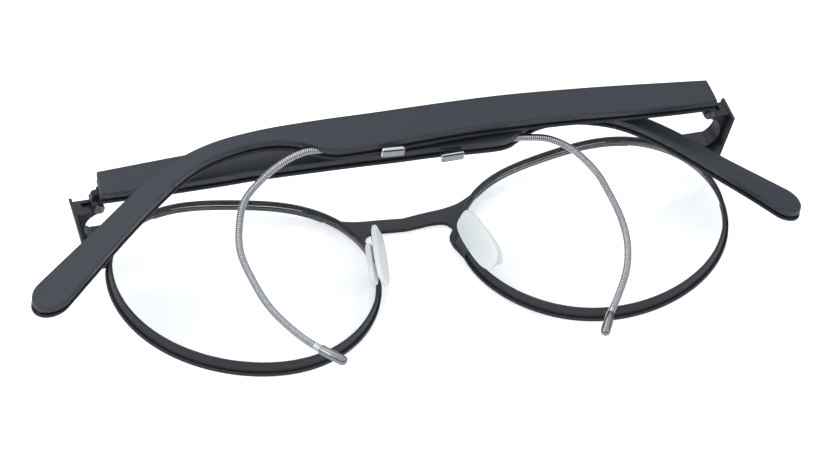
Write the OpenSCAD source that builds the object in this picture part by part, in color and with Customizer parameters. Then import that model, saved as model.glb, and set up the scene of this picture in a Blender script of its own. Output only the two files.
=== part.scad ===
// Spectacle frame with thin metal rims, wide flat temples and pull-out wire ear hooks.
// It lies on its front with both temples folded and both hooks pulled out.
// Origin: middle of the bridge on its front face. +Z points from the front to the wearer,
// +Y to the brow and +X to the wearer's right.

/* [Lenses and rims] */
// Width of one lens
lens_w = 49.6; // [44:0.1:54]
// Height of one lens
lens_h = 44; // [38:0.2:47]
// Distance between the two lenses across the nose
lens_gap = 18.3; // [17:0.1:22]
// Angle that each rim is turned back to follow the face
wrap_deg = 5.06; // [3:0.1:8]
// Depth of the lens centres below the origin
lens_drop = 12.3; // [11:0.05:13.5]
// Radius of the lens surface
lens_radius = 250; // [160:5:500]
// Lens thickness
lens_t = 1.3; // [1:0.1:1.6]
// Width of the eyewire, the inner ring that holds the lens
eyewire_w = 0.6; // [0.55:0.05:1]
// Depth of the eyewire from front to back
eyewire_depth = 2.8; // [2.1:0.05:3]
// Depth of the lens seat in the eyewire
seat_depth = 0.2; // [0.15:0.05:0.35]
// Width of the sheet flange round the eyewire
flange_w = 0.5; // [0.4:0.05:1.6]
// Thickness of the front sheet
sheet_t = 0.8; // [0.7:0.05:1.3]

/* [Bridge] */
// Height of the bridge at its middle
bridge_h = 3; // [1.8:0.05:4]

/* [End pieces] */
// Distance from the middle of the front to the front corner of a side wall
wall_x = 61.2; // [59.5:0.1:64]
// Distance that the side wall leans out over its depth
wall_lean = 2.7; // [2:0.1:4]
// Height of the side wall
wall_h = 6.1; // [5:0.1:8]
// Thickness of the side wall
wall_t = 0.6; // [0.5:0.05:1]
// Radius of the hollow behind the hinge block
hollow_r = 3.4; // [2.6:0.1:3.6]

/* [Hinges] */
// Distance from the back corner of a side wall inward to the hinge pin
hinge_in = 4.7; // [4.3:0.1:5]
// Height of the hinge pin behind the bridge's front face
hinge_z = 17.2; // [16.9:0.1:19]
// Radius of the hinge barrel
knuckle_r = 1.1; // [1:0.05:1.2]
// Radius of the hinge screw
screw_r = 0.55; // [0.4:0.05:0.6]
// Running clearance round the hinge screw
screw_play = 0.05; // [0.02:0.01:0.09]
// Length of the hinge barrel
barrel_len = 3.7; // [3.4:0.1:4.2]
// Thickness of the hinge leaf on the temple
leaf_t = 0.8; // [0.6:0.05:1]

/* [Temples] */
// Height of the temple at its root
root_h = 6.1; // [5:0.1:7]
// Thickness of the temple in its middle
temple_t = 2.8; // [2.7:0.05:3.2]
// Thickness of the outer cover of the temple
cover_t = 1.35; // [1.2:0.05:1.5]
// Thickness of the inner plate of the temple
plate_t = 0.75; // [0.7:0.05:0.85]
// Rise of the cover's outer face at its middle line
crown = 0.1; // [0.05:0.05:0.4]
// Distance from the hinge pin to the middle of the right tip's round end
tip_right = 131.3; // [128:0.1:134]
// Distance from the hinge pin to the middle of the left tip's round end
tip_left = 127.3; // [126:0.1:134]
// Radius of the round end of a tip
tip_r = 3.7; // [3.2:0.1:3.9]
// Depth of the bulge below the straight lower edge of the temple
bulge = 3.2; // [2.9:0.1:3.8]
// Angle of the right temple where it lies on the left one
stack_deg = 4.45; // [4:0.05:6]

/* [Ear hooks] */
// Diameter of the wound hook wire
wire_d = 1.25; // [1:0.05:1.3]
// Height of a winding above the bottom of the groove beside it
winding_h = 0.1; // [0.04:0.01:0.12]
// Number of winding ribs on one hook
ribs = 88; // [40:2:100]
// Diameter of the ferrule at the end of the wire
ferrule_d = 1.7; // [1.4:0.1:2.2]
// Length of the ferrule with its round end
ferrule_len = 5.4; // [4:0.1:8]
// Length of the slider's tab
tab_len = 4.5; // [3.6:0.1:5.5]
// Height of the slider's tab below the temple
tab_h = 1.1; // [0.8:0.1:1.5]
// Width of the slider's tab
tab_w = 1.9; // [1.5:0.1:2.2]
// Distance that the slider travels toward the hinge
hook_travel = 55; // [40:1:56]

/* [Nose pads] */
// Length of a nose pad
pad_len = 13.3; // [12:0.1:16]
// Width of a nose pad
pad_w = 5.9; // [5.4:0.1:7.5]
// Thickness of the leaf that bears on the nose
pad_t = 1.2; // [1:0.1:1.8]
// Angle that the pads open toward the wearer
pad_splay = 24.5; // [20:0.5:30]
// Angle that the pads open downward
pad_tilt = 11.7; // [8:0.1:16]
// Thickness of the sheet tab that carries a pad
tab_t = 0.5; // [0.4:0.05:0.8]

/* [Hidden] */
$fn = 48;
fit = 0.05;
far = 200;

// Lens outline: a rounded shape, wider at the brow, as a sum of waves round the circle.
steps = 72;
wave_a = [0, 0, 1.553, -0.246, -0.148];
wave_b = [0, 0, 0.296, 0.663, -0.193];
function wave_r(a) =
  22.5 + wave_a[2] * cos(2 * a) + wave_b[2] * sin(2 * a) + wave_a[3] * cos(3 * a)
  + wave_b[3] * sin(3 * a) + wave_a[4] * cos(4 * a) + wave_b[4] * sin(4 * a);
raw = [for (i = [0:steps - 1]) wave_r(360 * i / steps) * [cos(360 * i / steps), sin(360 * i / steps)]];
raw_x = [for (p = raw) p[0]];
raw_y = [for (p = raw) p[1]];
raw_mid = [(max(raw_x) + min(raw_x)) / 2, (max(raw_y) + min(raw_y)) / 2];
raw_size = [max(raw_x) - min(raw_x), max(raw_y) - min(raw_y)];
lens_outline = [for (p = raw)
  [(p[0] - raw_mid[0]) * lens_w / raw_size[0], (p[1] - raw_mid[1]) * lens_h / raw_size[1]]];
function unit(v) = v / norm(v);
function widened(d) = [for (i = [0:steps - 1])
  let (along = unit(lens_outline[(i + 1) % steps] - lens_outline[(i + steps - 1) % steps]))
  lens_outline[i] + d * [along[1], -along[0]]];

// Rim sizes, counted outward from the lens edge and back from the front face of the rim.
eyewire_out = eyewire_w - seat_depth;
flange_out = eyewire_out + flange_w;
lens_x = lens_gap / 2 + lens_w / 2;
rim_z = (lens_w / 2 + flange_out) * sin(wrap_deg);
crease_w = 0.15;
crease_depth = 0.35;
bevel_t = 0.6;
bevel_z = eyewire_depth / 2 - bevel_t / 2;
lens_mid_z = eyewire_depth / 2 + pow(lens_h / 2 + 1, 2) / (2 * lens_radius);

module sides(side) {
  if (side > 0) children();
  else mirror([1, 0, 0]) children();
}
module rim_place() {
  translate([lens_x, -lens_drop, rim_z]) rotate([0, -wrap_deg, 0]) children();
}
module rim_prism(d, low, high) {
  translate([0, 0, low]) linear_extrude(high - low) polygon(widened(d));
}
module rim_ring(outer, inner, low, high) {
  difference() {
    rim_prism(outer, low, high);
    rim_prism(inner, low - 1, high + 1);
  }
}

// Smooth curve through points: value at s on a curve given as a list of [s, value].
function slope(c, i) = i == 0 ? (c[1][1] - c[0][1]) / (c[1][0] - c[0][0])
  : i == len(c) - 1 ? (c[i][1] - c[i - 1][1]) / (c[i][0] - c[i - 1][0])
  : (c[i + 1][1] - c[i - 1][1]) / (c[i + 1][0] - c[i - 1][0]);
function span(c, s, i = 0) = i >= len(c) - 2 || s < c[i + 1][0] ? i : span(c, s, i + 1);
function curve(c, s) =
  let (i = span(c, s), w = c[i + 1][0] - c[i][0], u = (s - c[i][0]) / w)
  (2 * u * u * u - 3 * u * u + 1) * c[i][1] + (u * u * u - 2 * u * u + u) * w * slope(c, i)
  + (3 * u * u - 2 * u * u * u) * c[i + 1][1] + (u * u * u - u * u) * w * slope(c, i + 1);

// Bridge outline, right half: its upper edge rises to the rim, and its lower edge ends in a
// fillet above the pad tab's foot.
bridge_low = -bridge_h / 2;
bridge_high = bridge_h / 2;
bridge_end = lens_gap / 2 + 7.1;
foot_x = lens_gap / 2 - 1.95;
foot_y = -lens_drop;
bridge_top = [[0, bridge_high], [4, bridge_high + 0.5], [7.2, bridge_high + 0.8],
  [lens_gap / 2 + 0.7, bridge_high + 1.1], [lens_gap / 2 + 2.4, bridge_high + 1.5],
  [lens_gap / 2 + 3.9, bridge_high + 2.2], [lens_gap / 2 + 5.4, bridge_high + 3], [bridge_end, bridge_high + 3.8]];
bridge_bottom = [[0, bridge_low], [2.5, bridge_low + 0.2], [5, bridge_low + 0.45],
  [foot_x - 0.2, bridge_low + 0.3], [foot_x + 0.9, bridge_low - 0.25], [foot_x + 1.4, bridge_low - 1.3]];
bridge_half = concat(
  [for (i = [0:24]) [bridge_end * i / 24, curve(bridge_top, bridge_end * i / 24)]],
  [[bridge_end + 4, bridge_high], [bridge_end + 4, -lens_drop], [lens_gap / 2, -lens_drop - 1],
   [lens_gap / 2 - 0.6, -lens_drop - 0.9], [foot_x + 0.15, foot_y + 4.65], [foot_x, foot_y + 6.55],
   [foot_x + 0.25, foot_y + 7.35], [foot_x + 1, foot_y + 8.45], [foot_x + 1.4, foot_y + 8.65]],
  [for (i = [12:-1:0]) [(foot_x + 1.4) * i / 12, curve(bridge_bottom, (foot_x + 1.4) * i / 12)]]);

// End piece: side wall, lug and the block that carries the hinge, seen from below.
wall_depth = hinge_z - 0.5;
wall_front = 3.6;
wall_low = 10.15 - lens_drop;
lug_back = 8.9;
hinge_x = wall_x + wall_lean - hinge_in;
function wall_at(z) = wall_x + wall_lean * (z - wall_front) / (wall_depth - wall_front);
block_back = hinge_z - 0.7;
hollow_x = hinge_x - 0.7;
hollow_z = hinge_z - knuckle_r - hollow_r;
barrel_low = wall_low + 1.6;
barrel_mid = barrel_low + 1.45;
barrel_high = barrel_low + barrel_len - 0.75;
barrel_top = barrel_low + barrel_len;
side_gap = 0.05;

// Temple, in its own frame: s runs from the hinge pin to the tip, t up, n out from the wearer.
temple_y = wall_low + 1.4;
face_n = 5;
root_top = 4.6;
root_low = root_top - root_h;
tip_drop = 0.655;
function tip_mid(tip) = [tip, -21.05 - tip_drop * (tip - 132)];
tip_dir = [0.545, 0.839];
function top_edge(tip) = concat([[0, root_top], [10, 5.05], [20, 5.45], [30, 5.65], [40, 5.65], [50, 5.2],
  [60, 4.5], [70, 3.8], [80, 3.45], [90, 3.05], [97, 2.3], [104, 0.45], [112, -3.5], [120, -8.85]],
  [tip_mid(tip) + tip_r * tip_dir]);
function low_edge(tip) = concat([[0, root_low], [10, -1.9], [20, -1.93], [30, -1.8], [40, -2.1],
  [50, -2.6], [60, -1.9 - 0.55 * bulge], [67, -1.9 - 0.85 * bulge], [72, -1.9 - bulge], [75.5, -1.9 - bulge],
  [77.5, -4.6], [79, -3.7], [81, -2.4], [84, -1], [87.5, -0.35], [91, -0.35], [95, -0.95], [100, -2.3],
  [105, -4.7], [110, -8.2], [115, -12], [120, -16]], [tip_mid(tip) - tip_r * tip_dir]);
face_curve = [[0, face_n], [70, face_n], [76, face_n - 0.15], [85, face_n - 0.65], [92, face_n - 1.4],
  [99, face_n - 2.5], [106, face_n - 4.3], [114, face_n - 6.85], [124, face_n - 10.6], [136, face_n - 15.3]];
thick_curve = [[0, temple_t - 0.15], [15, temple_t - 0.1], [25, temple_t], [80, temple_t],
  [95, temple_t - 0.15], [136, temple_t - 0.05]];
function tip_cut(tip, s) = sqrt(max(0, tip_r * tip_r - pow(s - tip, 2)));
function top_at(tip, s) = s > tip + tip_r * tip_dir[0] ? tip_mid(tip)[1] + tip_cut(tip, s)
  : curve(top_edge(tip), s);
function low_at(tip, s) = s > tip - tip_r * tip_dir[0] ? tip_mid(tip)[1] - tip_cut(tip, s)
  : curve(low_edge(tip), s);
function stations(tip) = concat([for (s = [0:5:70]) s], [for (s = [72:1.5:87]) s],
  [for (i = [0:9]) 89 + (tip - 4 - 89) * i / 9], [for (a = [-90:18:72]) tip + tip_r * sin(a)],
  [tip + tip_r * sin(81)]);
core_n = face_n - cover_t;

// Channel for the hook inside the temple: a wide part for the slider and a narrow slot below it.
slider_s = 65.3;
carriage_len = 9;
carriage_h = 1.4;
carriage_w = 1.1;
carriage_t = -1.6;
channel_play = 0.1;
channel_n = core_n - 0.38;
climb = 1.5 / hook_travel;
neck_w = 0.5;
function channel_t(s) = carriage_t + climb * (slider_s - s);
tab_top = -1.9 - 0.85 * bulge - 0.25;
slot_end = slider_s + carriage_len / 2 + 0.8;
slot_start = slider_s - hook_travel - carriage_len / 2 - 0.8;

// Hook routes in the temple's frame, from the slider to the ferrule and its end. Each wire is
// bent by hand to its wearer's ear, so the two differ a little.
slot_part = [[69.9, -1.6, 3.27], [71.8, -1.75, 3.27], [74.6, -2.7, 3.27], [77.6, -3.25, 3.27]];
route_right = concat(slot_part, [[81, -3.1, 3.2], [84.9, -4, 2.4], [89.1, -5.4, 0.2], [93.3, -8, -2.6],
  [95.3, -12.1, -4.8], [96.3, -17.4, -6.7], [95.5, -23.5, -8.1], [93.8, -30.2, -9.1], [90.5, -36.6, -9.7],
  [87.4, -40.6, -10], [84.1, -43.9, -10.2]]);
route_left = concat(slot_part, [[81, -3.1, 3.2], [85.5, -2.9, 2.4], [89.8, -4.2, 0.2], [93.2, -7.7, -2.6],
  [94.7, -11.8, -4.8], [95.5, -16.6, -6.7], [95.1, -21.9, -8.1], [93.1, -27.6, -9.1], [89.6, -33.3, -9.7],
  [86.7, -37.3, -10], [84.4, -41.3, -10.2]]);
function route(side) = side > 0 ? route_right : route_left;
ferrule_from = len(route_right) - 2;
function ferrule_axis(side) = unit(route(side)[ferrule_from + 1] - route(side)[ferrule_from]);

// Nose pad seat: a plane that leans back and outward, and the pad's middle on it.
seat = [lens_gap / 2 + 1.1, -lens_drop - 2.2, 7.5];
module pad_place() {
  translate(seat) rotate([0, pad_splay, 0]) rotate([0, 0, pad_tilt]) children();
}
// Bend of the tab below the pad, from where it stands upright on the front sheet.
bend = [0, 3.5, -2.6];
module bend_place() {
  translate(seat + [0.08, 0, 0]) rotate([0, pad_splay, 0]) rotate([0, 0, pad_tilt]) translate(bend)
    rotate([0, 0, -pad_tilt]) rotate([0, -pad_splay, 0]) rotate([0, 0, pad_tilt]) children();
}
module plate_at(low, high) {
  translate([low, 0, 0]) rotate([90, 0, 90]) linear_extrude(high - low) children();
}
function oval(len, wide, power = 2.6) = [for (i = [0:39]) let (a = 9 * i)
  [len / 2 * sign(cos(a)) * pow(abs(cos(a)), 2 / power), wide / 2 * sign(sin(a)) * pow(abs(sin(a)), 2 / power)]];
button_len = 0.7 * pad_len;
button_w = 0.6 * pad_w;
button_t = 1.2;
button_y = -1.3;
stem_r = 0.9;
stem_at = [1.6, -1.3];

module front_frame() color("#45494b") {
  for (side = [1, -1]) sides(side) {
    rim_place() difference() {
      union() {
        rim_ring(flange_out, eyewire_out, 0, sheet_t);
        translate([-lens_x, lens_drop, 0]) linear_extrude(sheet_t) intersection() {
          polygon(bridge_half);
          translate([lens_gap / 2 - 1.2, -far / 2]) square([far, far]);
        }
      }
      rim_prism(eyewire_out, -1, far / 4);
      translate([0, 0, sheet_t - crease_depth]) rim_prism(eyewire_out + crease_w, 0, 9);
    }
    difference() {
      translate([0, wall_low + wall_h, 0]) rotate([90, 0, 0]) linear_extrude(wall_h) polygon([
        [lens_x + 16, wall_front + 0.3], [wall_x - 0.6, wall_front - 0.1], [wall_x, wall_front + 0.3],
        [wall_at(wall_depth), wall_depth], [wall_at(wall_depth) - wall_t, wall_depth],
        [wall_at(lug_back + 0.8) - wall_t, lug_back + 0.8], [wall_at(lug_back) - wall_t - 0.8, lug_back],
        [lens_x + 19, lug_back], [lens_x + 18.2, lug_back - 0.6], [lens_x + 17, rim_z + 4]]);
      rim_place() rim_prism(eyewire_out, -9, 20);
    }
  }
  linear_extrude(sheet_t) for (side = [0, 1]) mirror([side, 0]) intersection() {
    polygon(bridge_half);
    square([2 * (lens_gap / 2 - 0.9), far], center = true);
  }
}

module eyewire(side) color("#3d4143") sides(side) rim_place() difference() {
  rim_ring(eyewire_out, -seat_depth, 0, eyewire_depth);
  rim_prism(fit, bevel_z - fit, bevel_z + bevel_t + fit);
}

module lens(side) color("#e9f2f4", 0.35) sides(side) rim_place() union() {
  intersection() {
    rim_prism(-seat_depth - fit, -3, eyewire_depth);
    translate([0, 0, lens_radius]) difference() {
      sphere(lens_radius + lens_t / 2 - lens_mid_z + eyewire_depth / 2 + lens_t / 2, $fn = 96);
      sphere(lens_radius - lens_mid_z + eyewire_depth / 2, $fn = 96);
    }
  }
  rim_ring(0, -seat_depth - 1, bevel_z, bevel_z + bevel_t);
}

module pad_tab(side) color("#45494b") sides(side) difference() {
  union() {
    pad_place() plate_at(-tab_t / 2, tab_t / 2)
      polygon([[5, 0.6], [-1.6, 0.6], [0.9, bend[2] - 0.3], [5.6, bend[2] - 0.3]]);
    bend_place() plate_at(-tab_t / 2, tab_t / 2)
      polygon([[2.1, 0.1], [-2.4, 0.1], [1.2, -seat[2]], [4.6, -seat[2]]]);
  }
  rim_place() translate([-far / 2, -far / 2, sheet_t - far]) cube(far);
  translate([-far / 2, -far / 2, sheet_t - far]) cube(far);
  rim_place() rim_prism(eyewire_out + 0.1, -1, eyewire_depth + 0.1);
  pad_place() plate_at(-2, 2) translate(stem_at) circle(stem_r + fit);
}

module nose_pad(side) color("#f4f6f8", 0.8) sides(side) difference() {
  pad_place() {
    plate_at(-tab_t / 2 - fit - pad_t * 0.7, -tab_t / 2 - fit) polygon(oval(pad_len, pad_w));
    plate_at(-tab_t / 2 - fit - pad_t, -tab_t / 2 - fit - pad_t * 0.7) polygon(oval(pad_len - 1.6, pad_w - 1.6));
    plate_at(tab_t / 2 + fit, tab_t / 2 + fit + button_t)
      translate([button_y, 0]) polygon(oval(button_len, button_w));
    plate_at(-tab_t / 2 - fit, tab_t / 2 + fit) translate(stem_at) circle(stem_r);
  }
  rim_place() rim_prism(flange_out + 0.3, -3, eyewire_depth + 0.2);
  rim_place() translate([-far / 2, -far / 2, sheet_t + 0.2 - far]) cube(far);
}

module hinge_block(side) color("#3a3e40") sides(side) difference() {
  union() {
    translate([0, barrel_top, 0]) rotate([90, 0, 0]) linear_extrude(barrel_len) difference() {
      polygon([[hinge_x - 0.5, hinge_z - knuckle_r + 0.1], [hinge_x + 0.6, block_back],
        [wall_at(block_back) - wall_t, block_back], [wall_at(lug_back + 0.8) - wall_t, lug_back + 0.8],
        [wall_at(lug_back) - wall_t - 0.8, lug_back], [hollow_x, lug_back]]);
      translate([hollow_x, hollow_z]) circle(hollow_r, $fn = 96);
      polygon([[hollow_x - 5, hollow_z], [hollow_x, hollow_z], [hollow_x + 0.76 * hollow_r, hollow_z - 0.65 * hollow_r],
        [hollow_x + 0.4 * hollow_r, lug_back + 0.5], [hollow_x + 0.1, lug_back], [hollow_x, lug_back - 1],
        [hollow_x - 5, lug_back - 1]]);
    }
    translate([hinge_x, barrel_top, hinge_z]) rotate([90, 0, 0]) cylinder(r = knuckle_r, h = barrel_len);
  }
  translate([hinge_x - 3, barrel_mid, hinge_z - 1.25])
    cube([5.75, barrel_high - barrel_mid, 4]);
  translate([hinge_x, barrel_high, hinge_z]) rotate([90, 0, 0])
    cylinder(r = knuckle_r + 0.15, h = barrel_high - barrel_mid);
  translate([hinge_x, barrel_top + 1, hinge_z]) rotate([90, 0, 0])
    cylinder(r = screw_r + screw_play, h = barrel_len + 2);
}

module hinge_screw(side) color("#c9cdd0") sides(side) translate([hinge_x, 0, hinge_z]) rotate([-90, 0, 0]) {
  translate([0, 0, barrel_low - 0.35]) difference() {
    cylinder(r = knuckle_r - 0.15, h = 0.35);
    translate([-0.12, -2, -1]) cube([0.24, 4, 1.2]);
  }
  translate([0, 0, barrel_low - 0.05]) cylinder(r = screw_r, h = barrel_len + 0.05);
}

module temple_place(side) sides(side)
  translate([hinge_x, temple_y, hinge_z]) rotate([0, side > 0 ? stack_deg : 0, 0]) mirror([1, 0, 0]) children();
function tip_of(side) = side > 0 ? tip_right : tip_left;

// Closed skin through a row of sections, each a list of points in the same order.
module skin(rows) {
  n = len(rows[0]);
  last = len(rows) - 1;
  polyhedron(points = [for (row = rows) for (p = row) p],
    faces = concat([[for (j = [n - 1:-1:0]) j]], [[for (j = [0:n - 1]) last * n + j]],
      [for (i = [0:last - 1]) for (j = [0:n - 1]) let (k = (j + 1) % n)
        each [[i * n + j, (i + 1) * n + k, (i + 1) * n + j], [i * n + j, i * n + k, (i + 1) * n + k]]]));
}
function cover_row(tip, s) =
  let (low = low_at(tip, s), high = top_at(tip, s), face = curve(face_curve, s), mid = (low + high) / 2,
    half = (high - low) / 2)
  concat([[s, low, face - cover_t]],
    [for (f = [-1, -0.94, -0.6, 0, 0.6, 0.94, 1])
      [s, mid + f * half, face - (abs(f) > 0.99 ? crown + 0.1 : crown * f * f)]],
    [[s, high, face - cover_t]]);
function plate_row(tip, s) =
  let (low = low_at(tip, s), high = top_at(tip, s), face = curve(face_curve, s),
    inner = face - curve(thick_curve, s), lip = min(0.5, 0.25 * (high - low)))
  [[s, low, inner], [s, low, inner + plate_t], [s, low + lip, inner + plate_t], [s, low + lip, face - cover_t],
   [s, high - lip, face - cover_t], [s, high - lip, inner + plate_t], [s, high, inner + plate_t], [s, high, inner]];

module channel() {
  half = carriage_w / 2 + channel_play;
  translate([0, 0, channel_n - half]) linear_extrude(2 * half) polygon([
    [slot_start, channel_t(slot_start) - carriage_h / 2 - channel_play],
    [slot_end, channel_t(slot_end) - carriage_h / 2 - channel_play],
    [75, -3.95], [79.5, -4.1], [81, -6], [86, -6], [86, -1.75], [79, -2.35], [75.5, -1.9], [slot_end + 2, -0.8],
    [slot_end, channel_t(slot_end) + carriage_h / 2 + channel_play],
    [slot_start, channel_t(slot_start) + carriage_h / 2 + channel_play]]);
  translate([0, 0, channel_n - neck_w / 2 - channel_play]) linear_extrude(neck_w + 2 * channel_play) polygon([
    [slot_start, channel_t(slot_start)], [slot_end, channel_t(slot_end)], [slot_end, -9], [slot_start, -9]]);
  translate([0, 0, channel_n - half - 0.3]) linear_extrude(2 * half + 0.4)
    polygon([[78.6, -3.9], [78.6, -2.5], [81, -2.3], [87, -1.75], [87, -6], [78.6, -6]]);
}

module temple_cover(side) color("#4c5154") temple_place(side) difference() {
  skin([for (s = stations(tip_of(side))) cover_row(tip_of(side), s)]);
  channel();
}

module temple_plate(side) color("#2f3436") temple_place(side) difference() {
  skin([for (s = stations(tip_of(side))) plate_row(tip_of(side), s)]);
  channel();
}

module temple_hinge(side) color("#3a3e40") temple_place(side) {
  low = barrel_mid + side_gap - temple_y;
  high = barrel_high - side_gap - temple_y;
  inner = face_n - curve(thick_curve, 12);
  translate([0, high, 0]) rotate([90, 0, 0]) linear_extrude(high - low) difference() {
    union() {
      circle(knuckle_r);
      polygon([[-0.95, 0.3], [-0.95, inner - 0.5], [-0.5, inner - 0.05], [0.5, inner - 0.05],
        [0.5, inner - leaf_t + 0.1], [-0.45, inner - leaf_t + 0.1], [-0.45, 0.3]]);
    }
    circle(screw_r + screw_play);
  }
  translate([0.2, barrel_low + 0.2 - temple_y, inner - leaf_t]) cube([11.5, barrel_len - 0.4, leaf_t]);
}

module hook_slider(side) color("#c9cdd0") temple_place(side) {
  translate([slider_s, 0, channel_n]) {
    multmatrix([[1, 0, 0, 0], [-climb, 1, 0, 0], [0, 0, 1, 0]]) translate([0, carriage_t, 0])
      cube([carriage_len, carriage_h, carriage_w], center = true);
    translate([-tab_len / 2, tab_top - 0.2, -neck_w / 2]) cube([tab_len, carriage_t - tab_top, neck_w]);
    translate([-tab_len / 2, tab_top - tab_h, -tab_w / 2]) cube([tab_len, tab_h, tab_w]);
  }
}

// Wound wire: a tube whose rings swell and shrink along the route, one pair of rings for each rib.
function route_at(path, u) =
  let (i = min(floor(u), ferrule_from - 1), f = u - i, a = path[max(i - 1, 0)], b = path[i], c = path[i + 1],
    d = path[i + 2])
  0.5 * (2 * b + (c - a) * f + (2 * a - 5 * b + 4 * c - d) * f * f + (3 * b - a - 3 * c + d) * f * f * f);
wire_sides = 8;
function wire_ring(path, u, r) =
  let (mid = route_at(path, u),
    along = unit(route_at(path, min(u + 0.02, ferrule_from)) - route_at(path, max(u - 0.02, 0))),
    side = unit(cross(along, [0.3, 0.2, 1])), up = cross(side, along))
  [for (j = [0:wire_sides - 1]) mid + r * (cos(360 * j / wire_sides) * side + sin(360 * j / wire_sides) * up)];

module hook_wire(side) color("#b9bdc1") temple_place(side)
  skin([for (i = [0:2 * ribs])
    wire_ring(route(side), ferrule_from * i / (2 * ribs), wire_d / 2 - (i % 2 == 1 ? winding_h : 0))]);

module hook_ferrule(side) color("#d2d6d9") temple_place(side) translate(route(side)[ferrule_from])
  rotate([0, acos(ferrule_axis(side)[2]), atan2(ferrule_axis(side)[1], ferrule_axis(side)[0])]) {
    cylinder(r = ferrule_d / 2, h = ferrule_len - ferrule_d / 2);
    translate([0, 0, ferrule_len - ferrule_d / 2]) sphere(ferrule_d / 2);
  }

// Least gap between turns of a wire that are over three wire widths apart along it.
function path_gap(path) =
  let (mids = [for (u = [0:0.25:ferrule_from]) route_at(path, u)])
  min([for (i = [0:len(mids) - 1]) for (j = [i + 1:1:len(mids) - 1])
    if (norm(mids[i] - mids[j]) > 3 * wire_d || j - i > 8) norm(mids[i] - mids[j])]) - wire_d;
wire_gap = min(path_gap(route_right), path_gap(route_left));
echo("least gap of a hook wire to itself, mm", wire_gap);

front_frame();
eyewire(1);  // eyewire_right
eyewire(-1);  // eyewire_left
lens(1);  // lens_right
lens(-1);  // lens_left
pad_tab(1);  // pad_tab_right
pad_tab(-1);  // pad_tab_left
nose_pad(1);  // nose_pad_right
nose_pad(-1);  // nose_pad_left
hinge_block(1);  // hinge_block_right
hinge_block(-1);  // hinge_block_left
hinge_screw(1);  // hinge_screw_right
hinge_screw(-1);  // hinge_screw_left
temple_cover(1);  // temple_cover_right
temple_cover(-1);  // temple_cover_left
temple_plate(1);  // temple_plate_right
temple_plate(-1);  // temple_plate_left
temple_hinge(1);  // temple_hinge_right
temple_hinge(-1);  // temple_hinge_left
hook_slider(1);  // hook_slider_right
hook_slider(-1);  // hook_slider_left
hook_wire(1);  // hook_wire_right
hook_wire(-1);  // hook_wire_left
hook_ferrule(1);  // hook_ferrule_right
hook_ferrule(-1);  // hook_ferrule_left
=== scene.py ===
"""Dresses the round wire-hook spectacle frame: rims, temples, wound hooks, pads, finishes and the stage."""
import math

import bpy
from mathutils import Matrix, Vector
from mathutils.kdtree import KDTree


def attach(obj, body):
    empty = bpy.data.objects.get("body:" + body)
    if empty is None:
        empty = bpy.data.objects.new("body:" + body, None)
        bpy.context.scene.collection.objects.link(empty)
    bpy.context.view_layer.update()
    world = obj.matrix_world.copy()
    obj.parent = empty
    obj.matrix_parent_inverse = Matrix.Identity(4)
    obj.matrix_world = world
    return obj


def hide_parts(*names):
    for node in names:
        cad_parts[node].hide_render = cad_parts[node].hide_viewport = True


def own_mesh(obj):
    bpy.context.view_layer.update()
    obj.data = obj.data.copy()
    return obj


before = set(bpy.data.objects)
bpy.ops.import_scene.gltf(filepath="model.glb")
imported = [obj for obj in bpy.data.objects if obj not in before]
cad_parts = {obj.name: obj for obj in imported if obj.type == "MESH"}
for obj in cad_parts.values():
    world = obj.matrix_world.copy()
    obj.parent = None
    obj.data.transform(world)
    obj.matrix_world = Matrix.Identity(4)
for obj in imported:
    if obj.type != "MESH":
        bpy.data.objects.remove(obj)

bl_info = {
    "name": "Wire hook spectacle frame",
    "version": (1, 0, 0),
    "blender": (4, 5, 0),
    "location": "3D View > Sidebar > Spectacles",
    "description": "Models the visible pieces of a round spectacle frame over its CAD parts",
    "category": "Add Mesh",
}

MM = 0.001
RIGHT, LEFT = 1, -1
SIDES = {RIGHT: "right", LEFT: "left"}


# Sizes and colours

def number(name, description, default):
    return bpy.props.FloatProperty(name=name, description=description, default=default)


class RimSizes(bpy.types.PropertyGroup):
    lens_w: number("Lens width", "Width of one lens in mm", 49.6)
    lens_h: number("Lens height", "Height of one lens in mm", 44.0)
    lens_gap: number("Bridge width", "Distance between the lenses in mm", 18.3)
    lens_drop: number("Lens drop", "Lens centres below the bridge in mm", 12.3)
    wrap: number("Wrap", "Turn of each rim toward the face in degrees", 5.06)
    lens_radius: number("Lens curve", "Radius of the lens surface in mm", 250.0)
    lens_t: number("Lens thickness", "Thickness of a lens in mm", 1.3)
    eyewire_depth: number("Eyewire depth", "Front to back in mm", 2.8)
    eyewire_out: number("Eyewire edge", "Eyewire beyond the lens in mm", 0.4)
    seat_depth: number("Lens seat", "Depth that the lens sits in the eyewire in mm", 0.2)
    flange_w: number("Flange width", "Sheet round the eyewire in mm", 0.5)
    sheet_t: number("Sheet thickness", "Front sheet in mm", 0.8)
    bridge_h: number("Bridge height", "Bridge at its middle in mm", 3.0)


class TempleSizes(bpy.types.PropertyGroup):
    hinge_x: number("Hinge place", "Hinge pin from the middle in mm", 59.2)
    hinge_z: number("Hinge height", "Hinge pin behind the front in mm", 17.2)
    temple_y: number("Temple line", "Temple's datum below the brow in mm", -0.75)
    face_n: number("Face offset", "Outer face from the pin in mm", 5.0)
    temple_t: number("Thickness", "Temple in its middle in mm", 2.8)
    cover_t: number("Cover", "Outer cover in mm", 1.35)
    plate_t: number("Inner plate", "Inner plate in mm", 0.75)
    crown: number("Crown", "Rise of the face's middle line in mm", 0.1)
    edge_round: number("Edge round", "Radius of the cover's edges in mm", 0.12)
    tip_right: number("Right tip", "Pin to the right tip's centre in mm", 131.3)
    tip_left: number("Left tip", "Pin to the left tip's centre in mm", 127.3)
    tip_r: number("Tip radius", "Round end of a tip in mm", 3.7)
    bulge: number("Bulge", "Bulge below the lower edge in mm", 3.2)
    stack: number("Stack angle", "Right temple over the left in degrees", 4.45)


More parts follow.
